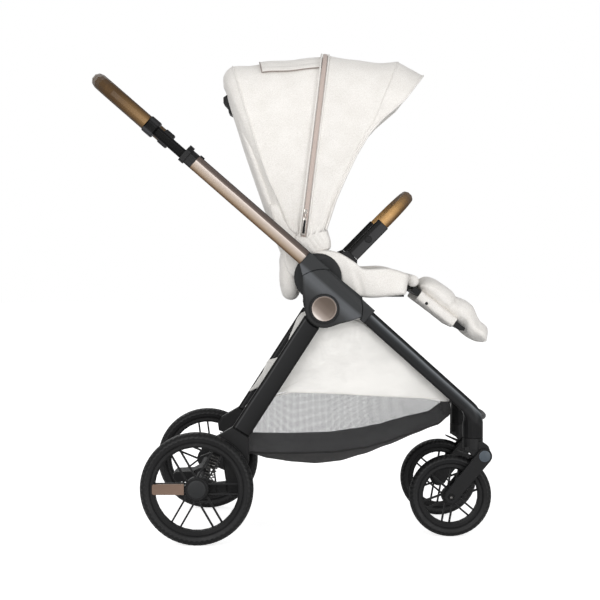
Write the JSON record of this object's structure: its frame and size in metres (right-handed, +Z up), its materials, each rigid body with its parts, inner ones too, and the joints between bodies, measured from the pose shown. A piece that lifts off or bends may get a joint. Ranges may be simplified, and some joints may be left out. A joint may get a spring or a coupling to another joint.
{
  "type": "three-in-one pram",
  "caption": "Pushchair on a folding chassis with a lift-off reclining seat, folding canopy, legrest, bumper bar, shopping basket, sprung axle and swivel front wheels.",
  "frame": {"origin": "on the ground in the middle of the pram, under the folding hub's front edge", "axes": "+X forward, the way the front wheels lead, +Y to the pram's left, +Z up"},
  "size_m": [0.916, 0.564, 1.1076],
  "materials": {
    "satin_black": "satin black moulded covers, sockets and coated legs",
    "black_plastic": "fine black moulding",
    "black_metal": "black sliding rod",
    "champagne_metal": "champagne anodised, satin",
    "bronze_leather": "bronze brown leather look with a soft sheen",
    "tyre_rubber": "matt black foam tyre",
    "white_fabric": "warm white melange weave",
    "grey_mesh": "grey mesh and cloth",
    "spring_steel": "bare spring wire"
  },
  "bodies": {
    "chassis": {"hub_core_r": "satin_black", "hub_core_l": "satin_black", "hub_cover_r": "satin_black", "hub_cover_l": "satin_black", "hub_disc_r": "champagne_metal", "hub_disc_l": "champagne_metal", "front_leg_r": "satin_black", "front_leg_l": "satin_black", "front_crossbar": "satin_black", "basket": "grey_mesh"},
    "caster_r": {"caster_crown_r": "black_plastic"},
    "caster_l": {"caster_crown_l": "black_plastic"},
    "fork_r": {"fork_r": "black_plastic"},
    "fork_l": {"fork_l": "black_plastic"},
    "swivel_lock_r": {"swivel_lever_r": "black_plastic"},
    "swivel_lock_l": {"swivel_lever_l": "black_plastic"},
    "front_wheel_r": {"front_wheel_r": "black_plastic", "front_wheel_r_tyre": "tyre_rubber"},
    "front_wheel_l": {"front_wheel_l": "black_plastic", "front_wheel_l_tyre": "tyre_rubber"},
    "rear_frame": {"rear_leg_r": "satin_black", "rear_leg_l": "satin_black", "axle_housing_r": "black_plastic", "axle_housing_l": "black_plastic", "rear_spring_r": "spring_steel", "rear_spring_l": "spring_steel"},
    "rear_axle": {"rear_arm_r": "black_plastic", "rear_arm_l": "black_plastic", "rear_axle_bar": "black_plastic"},
    "brake": {"brake_pedal": "black_plastic"},
    "rear_wheel_r": {"rear_wheel_r": "black_plastic", "rear_wheel_r_tyre": "tyre_rubber", "wheel_insert_r": "champagne_metal"},
    "rear_wheel_l": {"rear_wheel_l": "black_plastic", "rear_wheel_l_tyre": "tyre_rubber", "wheel_insert_l": "champagne_metal"},
    "handle_frame": {"handle_socket_r": "satin_black", "handle_socket_l": "satin_black", "outer_tube_r": "champagne_metal", "outer_tube_l": "champagne_metal"},
    "handle_upper": {"handle_rod_r": "black_metal", "handle_rod_l": "black_metal", "handle_grip": "bronze_leather"},
    "fold_release": {"fold_button": "black_plastic"},
    "seat": {"seat_frame": "black_plastic", "seat_adapter_r": "satin_black", "seat_adapter_l": "satin_black", "seat_pad": "white_fabric"},
    "backrest": {"seat_back": "black_plastic", "back_pad": "white_fabric", "rear_canopy": "white_fabric"},
    "recline_release": {"recline_lever": "black_plastic"},
    "canopy_front": {"front_canopy": "white_fabric"},
    "legrest": {"legrest_board": "black_plastic", "legrest_pad": "white_fabric"},
    "bumper": {"bumper_arm_r": "black_plastic", "bumper_arm_l": "black_plastic", "bumper_grip": "bronze_leather"},
    "bumper_release_r": {"bumper_button_r": "black_plastic"},
    "bumper_release_l": {"bumper_button_l": "black_plastic"}
  },
  "joints": [
    {"name": "handle_fold", "type": "hinge", "parent": "chassis", "child": "handle_frame", "pos_m": [0.0805, 0, 0.52], "axis": [0, -1, 0], "range_deg": [0, 143]},
    {"name": "rear_leg_fold", "type": "hinge", "parent": "chassis", "child": "rear_frame", "pos_m": [0.0805, 0, 0.52], "axis": [0, -1, 0], "range_deg": [0, 50]},
    {"name": "handle_height", "type": "slide", "parent": "handle_frame", "child": "handle_upper", "axis": [-0.7536, 0, 0.6574], "range_m": [-0.075, 0.06]},
    {"name": "fold_button", "type": "slide", "parent": "handle_upper", "child": "fold_release", "axis": [0.7536, 0, -0.6574], "range_m": [0, 0.004], "stiffness_N_per_m": 300, "springref_m": -0.004},
    {"name": "rear_suspension", "type": "hinge", "parent": "rear_frame", "child": "rear_axle", "pos_m": [-0.118, 0, 0.122], "axis": [0, 1, 0], "range_deg": [0, 8], "stiffness_Nm_per_rad": 80, "springref_deg": -8.59, "deforming": ["rear_spring_r", "rear_spring_l"]},
    {"name": "brake_pedal", "type": "hinge", "parent": "rear_axle", "child": "brake", "pos_m": [-0.2, 0, 0.125], "axis": [0, -1, 0], "range_deg": [0, 25]},
    {"name": "rear_wheel_r", "type": "hinge", "parent": "rear_axle", "child": "rear_wheel_r", "pos_m": [-0.2, -0.262, 0.125], "axis": [0, 1, 0], "continuous": true},
    {"name": "rear_wheel_l", "type": "hinge", "parent": "rear_axle", "child": "rear_wheel_l", "pos_m": [-0.2, 0.262, 0.125], "axis": [0, 1, 0], "continuous": true},
    {"name": "caster_swivel_r", "type": "hinge", "parent": "chassis", "child": "caster_r", "pos_m": [0.419, -0.15, 0.224], "axis": [0, 0, 1], "continuous": true},
    {"name": "caster_swivel_l", "type": "hinge", "parent": "chassis", "child": "caster_l", "pos_m": [0.419, 0.15, 0.224], "axis": [0, 0, 1], "continuous": true},
    {"name": "fork_suspension_r", "type": "hinge", "parent": "caster_r", "child": "fork_r", "pos_m": [0.443, -0.15, 0.185], "axis": [0, 1, 0], "range_deg": [0, 4], "stiffness_Nm_per_rad": 60, "springref_deg": -5.73},
    {"name": "fork_suspension_l", "type": "hinge", "parent": "caster_l", "child": "fork_l", "pos_m": [0.443, 0.15, 0.185], "axis": [0, 1, 0], "range_deg": [0, 4], "stiffness_Nm_per_rad": 60, "springref_deg": -5.73},
    {"name": "front_wheel_r", "type": "hinge", "parent": "fork_r", "child": "front_wheel_r", "pos_m": [0.368, -0.15, 0.093], "axis": [0, 1, 0], "continuous": true},
    {"name": "front_wheel_l", "type": "hinge", "parent": "fork_l", "child": "front_wheel_l", "pos_m": [0.368, 0.15, 0.093], "axis": [0, 1, 0], "continuous": true},
    {"name": "swivel_lock_r", "type": "hinge", "parent": "caster_r", "child": "swivel_lock_r", "pos_m": [0.416, -0.15, 0.1812], "axis": [0, -1, 0], "range_deg": [0, 5]},
    {"name": "swivel_lock_l", "type": "hinge", "parent": "caster_l", "child": "swivel_lock_l", "pos_m": [0.416, 0.15, 0.1812], "axis": [0, -1, 0], "range_deg": [0, 5]},
    {"name": "seat_lift", "type": "slide", "parent": "chassis", "child": "seat", "axis": [0, 0, 1], "range_m": [0, 0.12]},
    {"name": "seat_recline", "type": "hinge", "parent": "seat", "child": "backrest", "pos_m": [0.105, 0, 0.582], "axis": [0, -1, 0], "range_deg": [0, 57]},
    {"name": "recline_lever", "type": "hinge", "parent": "backrest", "child": "recline_release", "pos_m": [-0.1371, 0, 0.9914], "axis": [0, 1, 0], "range_deg": [0, 6], "stiffness_Nm_per_rad": 0.5, "springref_deg": -5.73},
    {"name": "canopy_fold", "type": "hinge", "parent": "backrest", "child": "canopy_front", "pos_m": [0.034, 0, 0.68], "axis": [0, -1, 0], "range_deg": [0, 50]},
    {"name": "legrest", "type": "hinge", "parent": "seat", "child": "legrest", "pos_m": [0.277, 0, 0.566], "axis": [0, -1, 0], "range_deg": [-25, 38]},
    {"name": "bumper_bar", "type": "slide", "parent": "seat", "child": "bumper", "axis": [0.7009, 0, 0.7132], "range_m": [0, 0.03]},
    {"name": "bumper_button_r", "type": "slide", "parent": "bumper", "child": "bumper_release_r", "axis": [0, 1, 0], "range_m": [0, 0.0015], "stiffness_N_per_m": 300, "springref_m": -0.003},
    {"name": "bumper_button_l", "type": "slide", "parent": "bumper", "child": "bumper_release_l", "axis": [0, -1, 0], "range_m": [0, 0.0015], "stiffness_N_per_m": 300, "springref_m": -0.003}
  ],
  "couplings": [
    {"joint": "rear_leg_fold", "follows": "handle_fold", "ratio": 0.34965}
  ]
}
